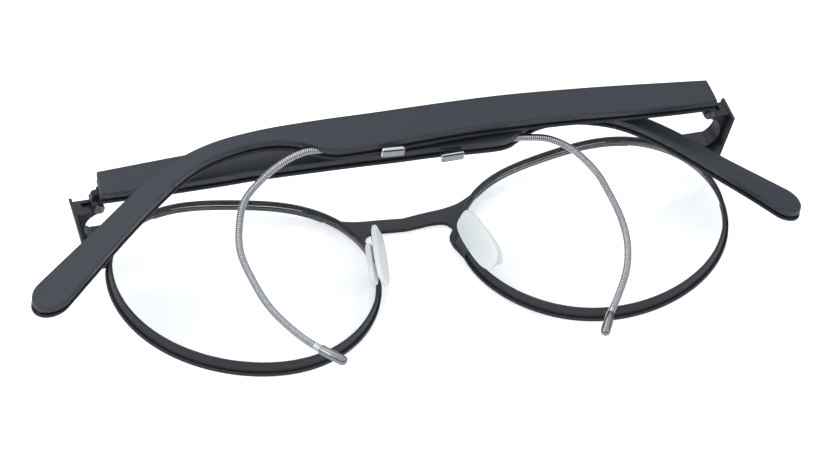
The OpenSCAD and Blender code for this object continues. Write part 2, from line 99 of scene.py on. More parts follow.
class HookSizes(bpy.types.PropertyGroup):
    wire_d: number("Wire", "Diameter of the wound wire in mm", 1.38)
    strand: number("Strand", "Width of one winding in mm", 0.4)
    starts: bpy.props.IntProperty(name="Starts", description="Windings side by side", default=1)
    groove: number("Groove", "Depth between windings in mm", 0.17)
    ferrule_d: number("Ferrule", "Diameter of the ferrule in mm", 1.8)
    ferrule_len: number("Ferrule length", "Length of the ferrule in mm", 5.4)
    slider_s: number("Slider place", "Slider from the pin in mm", 65.3)
    tab_len: number("Tab length", "Slider tab in mm", 4.5)
    tab_h: number("Tab height", "Slider tab below the temple in mm", 1.1)
    tab_w: number("Tab width", "Slider tab in mm", 1.9)
    pad_len: number("Pad length", "Nose pad in mm", 13.3)
    pad_w: number("Pad width", "Nose pad in mm", 5.9)
    pad_t: number("Pad thickness", "Nose leaf of the pad in mm", 1.2)


def srgb(code):
    """Linear colour of an sRGB hex code."""
    parts = [int(code[i:i + 2], 16) / 255 for i in (1, 3, 5)]
    return tuple(c / 12.92 if c <= 0.04045 else ((c + 0.055) / 1.055) ** 2.4 for c in parts) + (1.0,)


def colour_property(name, description, code):
    return bpy.props.FloatVectorProperty(name=name, description=description, subtype="COLOR", size=4,
                                         min=0, max=1, default=srgb(code))


class Finishes(bpy.types.PropertyGroup):
    temple: colour_property("Temple cover", "Soft-touch coat of the temple covers", "#262c33")
    temple_inner: colour_property("Temple plate", "Coat of the inner plates", "#1a1d21")
    front: colour_property("Front", "Matt coat of the steel front", "#202428")
    eyewire: colour_property("Eyewire", "Matt coat of the eyewires", "#23262a")
    steel: colour_property("Steel", "Stainless steel of wires and ferrules", "#d8dadd")
    silicone: colour_property("Silicone", "Milky silicone of the pads", "#fdfeff")
    floor: colour_property("Floor", "White table top", "#fbfbff")


# Shapes shared with the CAD model

def slope(c, i):
    if i == 0:
        return (c[1][1] - c[0][1]) / (c[1][0] - c[0][0])
    if i == len(c) - 1:
        return (c[i][1] - c[i - 1][1]) / (c[i][0] - c[i - 1][0])
    return (c[i + 1][1] - c[i - 1][1]) / (c[i + 1][0] - c[i - 1][0])


def curve(c, s):
    """Value at s on a smooth curve through [s, value] points."""
    i = 0
    while i < len(c) - 2 and s >= c[i + 1][0]:
        i += 1
    w = c[i + 1][0] - c[i][0]
    u = (s - c[i][0]) / w
    return ((2 * u**3 - 3 * u * u + 1) * c[i][1] + (u**3 - 2 * u * u + u) * w * slope(c, i)
            + (3 * u * u - 2 * u**3) * c[i + 1][1] + (u**3 - u * u) * w * slope(c, i + 1))


# The lens outline: its mean radius in mm, and the cosine and sine waves of 2, 3 and 4 periods round it.
MEAN_RADIUS = 22.5
WAVES = ((2, 1.553, 0.296), (3, -0.246, 0.663), (4, -0.148, -0.193))
ROUND = 144


def lens_outline(sizes):
    """The lens edge: a rounded shape, wider at the brow, as a sum of waves round the circle."""
    points = []
    for i in range(ROUND):
        a = 2 * math.pi * i / ROUND
        r = MEAN_RADIUS + sum(c * math.cos(k * a) + s * math.sin(k * a) for k, c, s in WAVES)
        points.append(Vector((r * math.cos(a), r * math.sin(a))))
    low = Vector((min(p.x for p in points), min(p.y for p in points)))
    high = Vector((max(p.x for p in points), max(p.y for p in points)))
    mid, size = (low + high) / 2, high - low
    across, tall = sizes.lens_w / size.x, sizes.lens_h / size.y
    return [Vector(((p.x - mid.x) * across, (p.y - mid.y) * tall)) for p in points]


def outline_normals(points):
    n = len(points)
    out = []
    for i in range(n):
        along = (points[(i + 1) % n] - points[i - 1]).normalized()
        out.append(Vector((along.y, -along.x)))
    return out


def rim_point(sizes, side, x, y, z):
    """A point of one rim's own plane, in the row frame."""
    w = math.radians(sizes.wrap)
    rim_z = (sizes.lens_w / 2 + sizes.eyewire_out + sizes.flange_w) * math.sin(w)
    px = sizes.lens_gap / 2 + sizes.lens_w / 2 + x * math.cos(w) - z * math.sin(w)
    pz = rim_z + x * math.sin(w) + z * math.cos(w)
    return Vector((side * px, y - sizes.lens_drop, pz)) * MM


def temple_point(sizes, side, s, t, n):
    """A point in a temple's frame: s from the pin to the tip, t up, n out from the wearer."""
    a = math.radians(sizes.stack) if side == RIGHT else 0
    x = -s * math.cos(a) + n * math.sin(a)
    z = s * math.sin(a) + n * math.cos(a)
    return Vector((side * (sizes.hinge_x + x), sizes.temple_y + t, sizes.hinge_z + z)) * MM


TOP_EDGE = [(0, 4.6), (10, 5.05), (20, 5.45), (30, 5.65), (40, 5.65), (50, 5.2), (60, 4.5), (70, 3.8),
            (80, 3.45), (90, 3.05), (97, 2.3), (104, 0.45), (112, -3.5), (120, -8.85)]
# Across and along the bent tip.
TIP_DIR = Vector((0.545, 0.839))
TIP_AXIS = Vector((0.839, -0.545))


def tip_mid(tip):
    return Vector((tip, -21.05 - 0.655 * (tip - 132)))


def top_edge(sizes, tip):
    return TOP_EDGE + [tuple(tip_mid(tip) + sizes.tip_r * TIP_DIR)]


def low_edge(sizes, tip):
    b = sizes.bulge
    return [(0, -1.5), (10, -1.9), (20, -1.93), (30, -1.8), (40, -2.1), (50, -2.6), (60, -1.9 - 0.55 * b),
            (67, -1.9 - 0.85 * b), (72, -1.9 - b), (75.5, -1.9 - b), (77.5, -4.6), (79, -3.7), (81, -2.4),
            (84, -1), (87.5, -0.35), (91, -0.35), (95, -0.95), (100, -2.3), (105, -4.7), (110, -8.2),
            (115, -12), (120, -16)] + [tuple(tip_mid(tip) - sizes.tip_r * TIP_DIR)]


def bow(side, s):
    """Share of the left temple's bow at s: it lies sprung up a little under the right one."""
    if side == RIGHT:
        return 0.0
    return curve([(0, 0.1), (15, 0.18), (45, 0.25), (55, 0.38), (65, 0.75), (80, 0.85), (98, 1.0), (108, 0.62),
                  (116, 0.12), (120, 0), (140, 0)], s)


# The bow's height and its shift toward the right temple, in mm.
BOW_UP, BOW_OUT = 1.9, 0.4


def face_at(sizes, s):
    f = sizes.face_n
    return curve([(0, f), (70, f), (76, f - 0.15), (85, f - 0.65), (92, f - 1.4), (99, f - 2.5),
                  (106, f - 4.3), (114, f - 6.85), (124, f - 10.6), (136, f - 15.3)], s)


def thickness_at(sizes, s):
    t = sizes.temple_t
    return curve([(0, t - 0.15), (15, t - 0.1), (25, t), (80, t), (95, t - 0.15), (136, t - 0.05)], s)


# From here on, the rows turn until they stand square to the tip.
TURN_S = 96.5


def temple_rows(sizes, side, tip):
    """Pairs of points on the temple's lower and upper edge, with how far round the tip each pair is."""
    top, low = top_edge(sizes, tip), low_edge(sizes, tip)
    reach = sizes.tip_r * TIP_DIR.x

    def row(s_low, s_top):
        return Vector((s_low, curve(low, s_low))), Vector((s_top, curve(top, s_top))), 0.0

    # The left root is cut a little askew.
    skew = 0.6 if side == LEFT else 0.0
    rows = [row(s, s + skew) for s in (0.0, 0.12)]
    # Rows stand closer along the bulge and the bend.
    stations = [0.9] + [1.5 * i for i in range(1, 44)] + [66 + 0.5 * i for i in range(1, 62)]
    rows += [row(s, s) for s in stations]
    for i in range(1, 25):
        u = i / 24
        rows.append(row(TURN_S + (tip - reach - TURN_S) * u, TURN_S + (tip + reach - TURN_S) * u))
    for i in range(1, 13):
        a = math.radians(7.5 * i)
        mid = tip_mid(tip) + sizes.tip_r * math.sin(a) * TIP_AXIS
        half = max(sizes.tip_r * math.cos(a), 1e-4) * TIP_DIR
        rows.append((mid - half, mid + half, math.sin(a)))
    return rows


def inward(rows, i, upper):
    """Direction into the temple at an edge point, square to its outline."""
    if i == len(rows) - 1:
        return -TIP_AXIS
    k = 1 if upper else 0
    a, b = rows[max(i - 1, 0)][k], rows[min(i + 1, len(rows) - 1)][k]
    along = (b - a).normalized()
    return Vector((along.y, -along.x)) if upper else Vector((-along.y, along.x))


# Modelling helpers

def clear_selection():
    if bpy.context.object and bpy.context.object.mode != "OBJECT":
        bpy.ops.object.mode_set(mode="OBJECT")
    bpy.ops.object.select_all(action="DESELECT")


def select_only(obj):
    clear_selection()
    obj.select_set(True)
    bpy.context.view_layer.objects.active = obj


def tidy_mesh(obj, name, angle=35.0, caps=True):
    """Merges seams, closes open ends, turns the faces outward and shades the piece smooth."""
    select_only(obj)
    bpy.ops.object.mode_set(mode="EDIT")
    bpy.ops.mesh.select_all(action="SELECT")
    bpy.ops.mesh.remove_doubles(threshold=2e-7)
    bpy.ops.mesh.dissolve_degenerate(threshold=1e-7)
    if caps:
        bpy.ops.mesh.select_all(action="DESELECT")
        bpy.ops.mesh.select_mode(type="EDGE")
        bpy.ops.mesh.select_non_manifold(extend=False)
        bpy.ops.mesh.fill_holes(sides=0)
        bpy.ops.mesh.select_mode(type="VERT")
    bpy.ops.mesh.select_all(action="SELECT")
    bpy.ops.mesh.normals_make_consistent(inside=False)
    bpy.ops.object.mode_set(mode="OBJECT")
    bpy.ops.object.shade_smooth_by_angle(angle=math.radians(angle))
    obj.name = name
    obj.data.name = name
    return obj


def loft(name, rows, closed=True, around=False, angle=35.0, caps=True):
    """A grid primitive whose rows of points are laid along the given sections."""
    sections = [list(r) + ([r[0]] if closed else []) for r in rows]
    if around:
        sections.append(list(sections[0]))
    across, along = len(sections[0]), len(sections)
    clear_selection()
    bpy.ops.mesh.primitive_grid_add(x_subdivisions=across - 1, y_subdivisions=along - 1, size=0.05)
    obj = bpy.context.object
    flat = [c for section in sections for p in section for c in p]
    if len(obj.data.vertices) != across * along:
        raise ValueError(f"{name}: the grid has {len(obj.data.vertices)} points, not {across * along}")
    obj.data.vertices.foreach_set("co", flat)
    obj.data.update()
    return tidy_mesh(obj, name, angle, caps)


def prism(ring, reach):
    """A flat n-gon laid along the given points and pulled out by reach."""
    clear_selection()
    bpy.ops.mesh.primitive_circle_add(vertices=len(ring), radius=0.01, fill_type="NGON")
    obj = bpy.context.object
    obj.data.vertices.foreach_set("co", [c for p in ring for c in p])
    obj.data.update()
    bpy.ops.object.mode_set(mode="EDIT")
    bpy.ops.mesh.select_all(action="SELECT")
    bpy.ops.mesh.extrude_region_move(TRANSFORM_OT_translate={"value": tuple(reach)})
    bpy.ops.object.mode_set(mode="OBJECT")
    return obj


def settle(obj, body, slot, material, *nodes):
    """Puts a piece's place into its mesh, gives it its finish, hangs it from its body and hides the CAD parts
    that it stands for.
    """
    select_only(obj)
    bpy.ops.object.transform_apply(location=True, rotation=True, scale=True)
    obj.data.materials.clear()
    obj.data.materials.append(material)
    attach(obj, body)
    if nodes:
        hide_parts(*nodes)
    return obj


def apply_modifier(obj, kind, **settings):
    select_only(obj)
    modifier = obj.modifiers.new(kind.title(), kind)
    for key, value in settings.items():
        setattr(modifier, key, value)
    bpy.ops.object.modifier_apply(modifier=modifier.name)


def join(pieces):
    """Joins all pieces to the first."""
    clear_selection()
    for obj in pieces:
        obj.select_set(True)
    bpy.context.view_layer.objects.active = pieces[0]
    bpy.ops.object.join()
    return pieces[0]


def round_edges(obj, width_mm, segments, angle):
    apply_modifier(obj, "BEVEL", width=width_mm * MM, segments=segments, limit_method="ANGLE",
                   angle_limit=math.radians(angle))


# Finishes

def new_material(name):
    material = bpy.data.materials.get(name) or bpy.data.materials.new(name)
    material.use_nodes = True
    material.node_tree.nodes.clear()
    return material, material.node_tree


def node(tree, kind, sockets=None, **settings):
    """Adds a node, sets its options, and gives its sockets values or links from other nodes' outputs."""
    made = tree.nodes.new(kind)
    for key, value in settings.items():
        if key in made.inputs:
            made.inputs[key].default_value = value
        else:
            setattr(made, key, value)
    for key, value in (sockets or {}).items():
        if isinstance(value, bpy.types.NodeSocket):
            tree.links.new(value, made.inputs[key])
        else:
            made.inputs[key].default_value = value
    return made


def finishes():
    return bpy.context.scene.spectacle_finishes


def dimmed(colour, share):
    return tuple(c * share for c in colour[:3]) + (1,)


# The coat's shade drifts over this many mm. Its pebble is this deep.
DRIFT_MM = 11.11
PEBBLE_DEPTH = 0.02 * MM


def coat(name, colour, grain_mm, rough, lift, metallic=0.0):
    """A sprayed matt coat: a fine pebble that breaks up highlights, and a slow drift of shade and gloss."""
    # The real pebble is too fine to show, so its grain is drawn a few times coarser.
    material, tree = new_material(name)
    place = node(tree, "ShaderNodeTexCoord").outputs["Object"]
    drift = node(tree, "ShaderNodeTexNoise", {"Vector": place}, Scale=1 / (DRIFT_MM * MM), Detail=3.0)
    slow, dark, light = drift.outputs["Fac"], dimmed(colour, 1 - lift), dimmed(colour, 1 + lift)
    shade = node(tree, "ShaderNodeMix", {"Factor": slow, 6: dark, 7: light}, data_type="RGBA").outputs[2]
    gloss = node(tree, "ShaderNodeMapRange", {"Value": slow, "To Min": rough - 0.04, "To Max": rough + 0.05})
    fine = node(tree, "ShaderNodeTexNoise", {"Vector": place}, Scale=1 / (grain_mm * MM), Detail=2.0)
    pebble = node(tree, "ShaderNodeBump", {"Height": fine.outputs["Fac"]}, Strength=0.35,
                  Distance=PEBBLE_DEPTH)
    shader = node(tree, "ShaderNodeBsdfPrincipled", {
        "Base Color": shade, "Roughness": gloss.outputs["Result"], "Normal": pebble.outputs["Normal"]},
        Metallic=metallic, IOR=1.5)
    node(tree, "ShaderNodeOutputMaterial", {"Surface": shader.outputs[0]})
    return material


def soft_touch_nylon():
    # Injection-moulded nylon under a soft-touch lacquer: near black, with a broad dull sheen.
    return coat("soft_touch_nylon", finishes().temple, grain_mm=0.25, rough=0.5, lift=0.06)


def moulded_nylon():
    # The inner plate of the same nylon without the lacquer: darker and a little duller.
    return coat("moulded_nylon", finishes().temple_inner, grain_mm=0.3, rough=0.6, lift=0.08)


def matt_coated_steel():
    # Stamped stainless sheet under a baked matt coat: dark grey, crisper highlights than the nylon.
    return coat("matt_coated_steel", finishes().front, grain_mm=0.2, rough=0.5, lift=0.06)


def coated_eyewire():
    # Rolled wire under the same kind of coat, a little glossier where it curls round the lens.
    return coat("coated_eyewire", finishes().eyewire, grain_mm=0.2, rough=0.46, lift=0.06)


def coated_hinge():
    # Milled hinge steel under the coat, with some bare metal showing through at the grain's peaks.
    return coat("coated_hinge_steel", finishes().eyewire, grain_mm=0.15, rough=0.4, lift=0.15, metallic=0.3)


def metal(name, grain_mm, detail, dark, light, rough, stretch=(1, 1, 1), groove_shade=None):
    """Bare metal with a fine grain, over which its tone and roughness run from one value to the other.

    Groove shade is a painted shade: the dark colour painted into the grooves that the piece's groove attribute
    marks."""
    material, tree = new_material(name)
    place = node(tree, "ShaderNodeTexCoord").outputs["Object"]
    place = node(tree, "ShaderNodeMapping", {"Vector": place, "Scale": stretch}).outputs[0]
    marks = node(tree, "ShaderNodeTexNoise", {"Vector": place}, Scale=1 / (grain_mm * MM), Detail=detail)
    grain = marks.outputs["Fac"]
    tone = node(tree, "ShaderNodeMix", {"Factor": grain, 6: dark, 7: light}, data_type="RGBA").outputs[2]
    # Painted shade: the grooves between the windings are darkened toward the groove shade colour.
    if groove_shade:
        groove = node(tree, "ShaderNodeAttribute", attribute_name="groove").outputs["Fac"]
        tone = node(tree, "ShaderNodeMix", {"Factor": groove, 6: tone, 7: groove_shade}, data_type="RGBA").outputs[2]
    gloss = node(tree, "ShaderNodeMapRange", {"Value": grain, "To Min": rough[0], "To Max": rough[1]})
    shader = node(tree, "ShaderNodeBsdfPrincipled", {"Base Color": tone, "Roughness": gloss.outputs["Result"]},
                  Metallic=1.0)
    node(tree, "ShaderNodeOutputMaterial", {"Surface": shader.outputs[0]})
    return material


def wound_steel():
    # Drawn stainless wire, wound: bright, streaked strands, with painted shade in the dark lines where they
    # meet. The real windings are too fine to show, so they and their streaks are drawn a little coarser.
    steel = finishes().steel
    return metal("wound_stainless_wire", grain_mm=0.4, detail=2.0, dark=dimmed(steel, 0.48),
                 light=dimmed(steel, 1), rough=(0.24, 0.24), groove_shade=srgb("#1c1c1e"))


def polished_steel(name="polished_stainless", share=1.0):
    # Turned and polished stainless steel: mirror-like, with faint turning marks, drawn coarse enough to show.
    tone = dimmed(finishes().steel, share)
    return metal(name, grain_mm=0.5556, detail=3.0, dark=tone, light=tone, rough=(0.12, 0.24))


def painted_dark_turned_steel():
    # The ferrules' steel is painted darker than the sliders': a painted dark reflection of the room that the
    # ferrules mirror.
    return polished_steel("painted_dark_turned_stainless", 0.42)


def brushed_and_shaded_steel():
    # Stainless steel brushed across the tab, with fine upright lines; its tone, greyer than the polished top,
    # is painted shade for the darker room that the tab's lower face mirrors.
    # The real lines are too fine to show, so they are drawn coarser.
    return metal("brushed_and_shaded_stainless", grain_mm=0.25, detail=2.0, dark=srgb("#949597"), light=srgb("#b8b7b8"),
                 rough=(0.38, 0.38), stretch=(1, 0.08, 0.08))


def blackened_steel():
    # Hinge screws of blackened steel, rubbed bright on the edges of the slot: dark, with sharp glints.
    return metal("blackened_screw_steel", grain_mm=0.6667, detail=3.0, dark=srgb("#26282a"),
                 light=srgb("#8a8c8e"), rough=(0.3, 0.3))


def milky_silicone():
    # Cast silicone: soft, cloudy, light passes a little way in and spreads.
    material, tree = new_material("milky_silicone")
    silicone, cloud_mm = finishes().silicone, 2.5
    place = node(tree, "ShaderNodeTexCoord").outputs["Object"]
    cloud = node(tree, "ShaderNodeTexNoise", {"Vector": place}, Scale=1 / (cloud_mm * MM), Detail=2.0)
    tone = node(tree, "ShaderNodeMix", {"Factor": cloud.outputs["Fac"], 6: dimmed(silicone, 0.97),
                                        7: dimmed(silicone, 1)}, data_type="RGBA").outputs[2]
    shader = node(tree, "ShaderNodeBsdfPrincipled", {"Base Color": tone, "Subsurface Weight": 0.6,
                                                     "Subsurface Scale": 3 * MM}, Roughness=0.35, IOR=1.41)
    through = node(tree, "ShaderNodeBsdfTranslucent", Color=tuple(silicone))
    mixed = node(tree, "ShaderNodeMixShader", {0: 0.15, 1: shader.outputs[0], 2: through.outputs[0]})
    node(tree, "ShaderNodeOutputMaterial", {"Surface": mixed.outputs[0]})
    return material


def clear_acrylic():
    # Demo lens of clear acrylic: polished, nearly no tint, with faint waves of haze.
    # Shadow rays pass, as light does through thin plastic.
    material, tree = new_material("clear_acrylic_lens")
    haze_mm = 16.67
    place = node(tree, "ShaderNodeTexCoord").outputs["Object"]
    haze = node(tree, "ShaderNodeTexNoise", {"Vector": place}, Scale=1 / (haze_mm * MM), Detail=2.0)
    gloss = node(tree, "ShaderNodeMapRange", {"Value": haze.outputs["Fac"], "To Min": 0.0, "To Max": 0.012})
    shader = node(tree, "ShaderNodeBsdfPrincipled", {"Base Color": srgb("#fdfffe"), "Transmission Weight": 1.0,
                                                     "Roughness": gloss.outputs["Result"]}, IOR=1.49)
    clear = node(tree, "ShaderNodeBsdfTransparent", Color=srgb("#fafcfd"))
    shadow = node(tree, "ShaderNodeLightPath").outputs["Is Shadow Ray"]
    mixed = node(tree, "ShaderNodeMixShader", {0: shadow, 1: shader.outputs[0], 2: clear.outputs[0]})
    node(tree, "ShaderNodeOutputMaterial", {"Surface": mixed.outputs[0]})
    return material


def seen_by_eye(tree):
    """1 for rays that carry an image of the surroundings to the camera, straight or through a lens."""
    path = node(tree, "ShaderNodeLightPath").outputs
    either = {0: path["Is Camera Ray"], 1: path["Is Transmission Ray"]}
    return node(tree, "ShaderNodeMath", either, operation="MAXIMUM").outputs[0]


# Pieces

class SPECTACLE_OT_rims(bpy.types.Operator):
    """Sweeps the eyewires and the sheet flanges round both lenses"""
    bl_idname = "spectacle.rims"
    bl_label = "Rims"

    def execute(self, context):
        sizes = context.scene.spectacle_rims
        edge = lens_outline(sizes)
        out = outline_normals(edge)
        e_out, e_in, depth, sheet = sizes.eyewire_out, -sizes.seat_depth, sizes.eyewire_depth, sizes.sheet_t
        # How much of the eyewire's front edges is taken off.
        r = 0.12
        f_out = e_out + sizes.flange_w
        mid = depth / 2
        # Profiles as distance out from the lens edge and height above the front face.
        eyewire = [(e_in, r), (e_in + r, 0), (e_out - r, 0), (e_out, r), (e_out, depth - 0.25),
                   (e_out - 0.08, depth - 0.08), (e_out - 0.25, depth), (e_in + 0.2, depth),
                   (e_in + 0.06, depth - 0.06), (e_in, depth - 0.2), (e_in, mid + 0.38), (0, mid + 0.3),
                   (0, mid - 0.3), (e_in, mid - 0.38)]
        flange = [(e_out, 0), (f_out - 0.3, 0), (f_out - 0.09, 0.05), (f_out, 0.2), (f_out, sheet - 0.16),
                  (f_out - 0.04, sheet - 0.04), (f_out - 0.14, sheet), (e_out + 0.25, sheet),
                  (e_out + 0.18, sheet - 0.02), (e_out + 0.14, sheet - 0.04), (e_out, sheet - 0.04)]
        for side, word in SIDES.items():
            for name, profile, slot, finish, nodes in (
                    ("eyewire_ring_", eyewire, "rim_paint", coated_eyewire(), ["eyewire_" + word]),
                    ("rim_flange_", flange, "front_paint", matt_coated_steel(), ["front_frame"])):
                rows = [[rim_point(sizes, side, *(p + n * d), z) for d, z in profile]
                        for p, n in zip(edge, out)]
                settle(loft(name + word, rows, around=True, caps=False), "front", slot, finish, *nodes)
        return {"FINISHED"}


class SPECTACLE_OT_lenses(bpy.types.Operator):
    """Shapes the two thin lenses with their bevelled edge"""
    bl_idname = "spectacle.lenses"
    bl_label = "Lenses"

    def execute(self, context):
        sizes = context.scene.spectacle_rims
        edge = lens_outline(sizes)
        out = outline_normals(edge)
        mid = sizes.eyewire_depth / 2
        dome = (sizes.lens_h / 2 + 1) ** 2 / (2 * sizes.lens_radius)

        def surface(p, back):
            radius = sizes.lens_radius - dome + (0 if back else sizes.lens_t)
            return sizes.lens_radius - math.sqrt(radius**2 - p.length_squared)

        for side, word in SIDES.items():
            rows = []
            for p, n in zip(edge, out):
                inner = p - n * (sizes.seat_depth + 0.02)
                shares = [k / 12 if k else 1e-4 for k in range(13)]
                front = [rim_point(sizes, side, *(inner * u), surface(inner * u, False)) for u in shares]
                back = [rim_point(sizes, side, *(inner * u), surface(inner * u, True)) for u in shares]
                # The bevel's narrow edge sits in the eyewire's groove.
                bevel = [rim_point(sizes, side, *(p - n * 0.02), mid + z) for z in (-0.28, 0.28)]
                rows.append(front + bevel + back[::-1])
            obj = loft("lens_clear_" + word, rows, closed=False, around=True)
            settle(obj, "front", "lens", clear_acrylic(), "lens_" + word)
        return {"FINISHED"}


class SPECTACLE_OT_bridge(bpy.types.Operator):
    """Cuts the bridge from the front sheet and rounds its edges"""
    bl_idname = "spectacle.bridge"
    bl_label = "Bridge"

    def execute(self, context):
        sizes = context.scene.spectacle_rims
        low, high, gap = -sizes.bridge_h / 2, sizes.bridge_h / 2, sizes.lens_gap
        # The sheet's end over each lens, and its foot that goes down along each rim.
        end = gap / 2 + 7.1
        foot = gap / 2 - 1.95
        foot_y = -sizes.lens_drop
        top = [(0, high), (4, high + 0.5), (7.2, high + 0.8), (gap / 2 + 0.7, high + 1.1),
               (gap / 2 + 2.4, high + 1.5), (gap / 2 + 3.9, high + 2.2), (gap / 2 + 5.4, high + 3),
               (end, high + 3.8)]
        bottom = [(0, low), (2.5, low + 0.2), (5, low + 0.45), (foot - 0.2, low + 0.3),
                  (foot + 0.9, low - 0.25), (foot + 1.4, low - 1.3)]
        half = [(end * i / 24, curve(top, end * i / 24)) for i in range(25)]
        edge = lens_outline(sizes)
        out = outline_normals(edge)
        w = math.radians(sizes.wrap)
        # Down the rim, just outside the eyewire.
        rim = [p + n * (sizes.eyewire_out + 0.1) for p, n in zip(edge, out)]
        lens_x = gap / 2 + sizes.lens_w / 2
        along = [(lens_x + p.x * math.cos(w), p.y - sizes.lens_drop) for p in rim if p.x < 0]
        half += sorted((p for p in along if foot_y - 0.9 < p[1] < high + 3.0), key=lambda p: -p[1])
        half += [(foot + 0.15, foot_y + 4.65), (foot, foot_y + 6.55), (foot + 0.25, foot_y + 7.35),
                 (foot + 1, foot_y + 8.45), (foot + 1.4, foot_y + 8.65)]
        half += [((foot + 1.4) * i / 12, curve(bottom, (foot + 1.4) * i / 12)) for i in range(12, 0, -1)]
        ring = half + [(0, low)] + [(-x, y) for x, y in reversed(half[1:])]
        obj = prism([Vector((x, y, 0)) * MM for x, y in ring], (0, 0, sizes.sheet_t * MM))
        # Beyond its straight middle, the sheet follows the wrap of the rims.
        straight = (gap / 2 - 0.9) * MM
        for v in obj.data.vertices:
            v.co.z += max(abs(v.co.x) - straight, 0) * math.tan(w)
        tidy_mesh(obj, "bridge_sheet", caps=False)
        round_edges(obj, 0.12, 2, 50)
        settle(obj, "front", "front_paint", matt_coated_steel(), "front_frame")
        return {"FINISHED"}


class SPECTACLE_OT_end_pieces(bpy.types.Operator):
    """Bends the side walls and lugs that carry the hinges"""
    bl_idname = "spectacle.end_pieces"
    bl_label = "End pieces"

    def execute(self, context):
        sizes = context.scene.spectacle_rims
        lens_x = sizes.lens_gap / 2 + sizes.lens_w / 2
        rim_z = (sizes.lens_w / 2 + sizes.eyewire_out + sizes.flange_w) * math.sin(math.radians(sizes.wrap))
        # The wall runs back from front to depth and leans out. The lug joins it to the rim, up to lug.
        front, depth, lug = 3.6, 16.7, 8.9
        wall_x, lean, wall_t = 61.2, 2.7, 0.6
        low, height = 10.15 - sizes.lens_drop, 6.1
        edge = lens_outline(sizes)
        out = outline_normals(edge)

        def wall(z):
            return wall_x + lean * (z - front) / (depth - front)

        ring = [(lens_x + 16, front + 0.3), (wall_x - 0.6, front - 0.1), (wall_x, front + 0.3),
                (wall(depth), depth), (wall(depth) - wall_t, depth), (wall(lug + 0.8) - wall_t, lug + 0.8),
                (wall(lug) - wall_t - 0.8, lug), (lens_x + 19, lug), (lens_x + 18.2, lug - 0.6),
                (lens_x + 17, rim_z + 4)]
        for side, word in SIDES.items():
            obj = prism([Vector((side * x, low, z)) * MM for x, z in ring], (0, height * MM, 0))
            tidy_mesh(obj, "end_piece_" + word, caps=False)
            # The lug starts at the rim, so the lens opening is cut out of it.
            inset = sizes.eyewire_out - 0.02
            start = [rim_point(sizes, side, *(p + n * inset), -9) for p, n in zip(edge, out)]
            cutter = prism(start, rim_point(sizes, side, 0, 0, 20) - rim_point(sizes, side, 0, 0, -9))
            tidy_mesh(cutter, "lens_opening", caps=False)
            apply_modifier(obj, "BOOLEAN", object=cutter, operation="DIFFERENCE", solver="EXACT")
            select_only(cutter)
            bpy.ops.object.delete()
            round_edges(obj, 0.07, 2, 30)
            settle(obj, "front", "front_paint", matt_coated_steel(), "front_frame")
        return {"FINISHED"}


class SPECTACLE_OT_temples(bpy.types.Operator):
    """Lofts the crowned temple covers and the inner plates"""
    bl_idname = "spectacle.temples"
    bl_label = "Temples"

    def execute(self, context):
        sizes = context.scene.spectacle_temples
        for side, word in SIDES.items():
            tip = sizes.tip_right if side == RIGHT else sizes.tip_left
            rows = temple_rows(sizes, side, tip)
            cover, plate = [], []
            for i, (low, high, past) in enumerate(rows):
                into_low, into_high = inward(rows, i, False), inward(rows, i, True)
                span = (high - low).length

                def at(p, n):
                    lift = bow(side, p.x)
                    return temple_point(sizes, side, p.x, p.y + BOW_UP * lift, n + BOW_OUT * lift)

                def crowned(f):
                    p = low.lerp(high, 0.5 + f / 2)
                    full = math.sqrt(past**2 + f * f * (1 - past**2))
                    return p, face_at(sizes, p.x) - sizes.crown * full * full

                r = sizes.edge_round
                root = 0.08 * max(0.0, 1 - low.x / 0.12)
                section = []
                for edge_point, into, order in ((low, into_low, 1), (high, into_high, -1)):
                    f = face_at(sizes, edge_point.x) - sizes.crown
                    inset = min(r, 0.4 * max(span, 0.8))
                    part = [(edge_point + into * 0.04, f + sizes.crown - sizes.cover_t),
                            (edge_point, f + sizes.crown - sizes.cover_t + 0.06),
                            (edge_point, f - inset),
                            (edge_point + into * 0.08 * inset / r, f - inset * 0.48),
                            (edge_point + into * 0.29 * inset, f - inset * 0.29),
                            (edge_point + into * 0.55 * inset, f - inset * 0.1),
                            (edge_point + into * inset, f + 0.015)]
                    part = [(p, n - root * (k > 1)) for k, (p, n) in enumerate(part)]
                    points = [at(p, n) for p, n in part]
                    if order == 1:
                        section += points
                        for k in (-0.72, -0.5, -0.25, 0, 0.25, 0.5, 0.72):
                            p, n = crowned(k)
                            if past == 0 or span > 0.9:
                                section.append(at(p, n - root))
                            else:
                                mid_p = low.lerp(high, 0.5 + k / 2) - TIP_AXIS * inset * past
                                section.append(at(mid_p, f + 0.015))
                    else:
                        section += points[::-1]
                cover.append(section)

                thick = thickness_at(sizes, low.x), thickness_at(sizes, high.x)
                lip = min(0.55, 0.25 * max(span, 0.2))
                layer = []
                for edge_point, into, t, order in ((low, into_low, thick[0], 1),
                                                   (high, into_high, thick[1], -1)):
                    f = face_at(sizes, edge_point.x)
                    inner = f - t
                    part = [(edge_point + into * 0.3, inner), (edge_point + into * 0.09, inner + 0.07),
                            (edge_point, inner + 0.25), (edge_point, inner + sizes.plate_t - 0.08),
                            (edge_point + into * 0.06, inner + sizes.plate_t),
                            (edge_point + into * lip, inner + sizes.plate_t),
                            (edge_point + into * lip, f - sizes.cover_t + 0.02)]
                    points = [at(p, n) for p, n in part]
                    layer += points if order == 1 else points[::-1]
                plate.append(layer)
            body = "temple_" + word
            settle(loft("temple_shell_" + word, cover, angle=40), body, "temple_shell", soft_touch_nylon(),
                   "temple_cover_" + word)
            settle(loft("temple_backing_" + word, plate, angle=40), body, "temple_plate", moulded_nylon(),
                   "temple_plate_" + word)
        return {"FINISHED"}


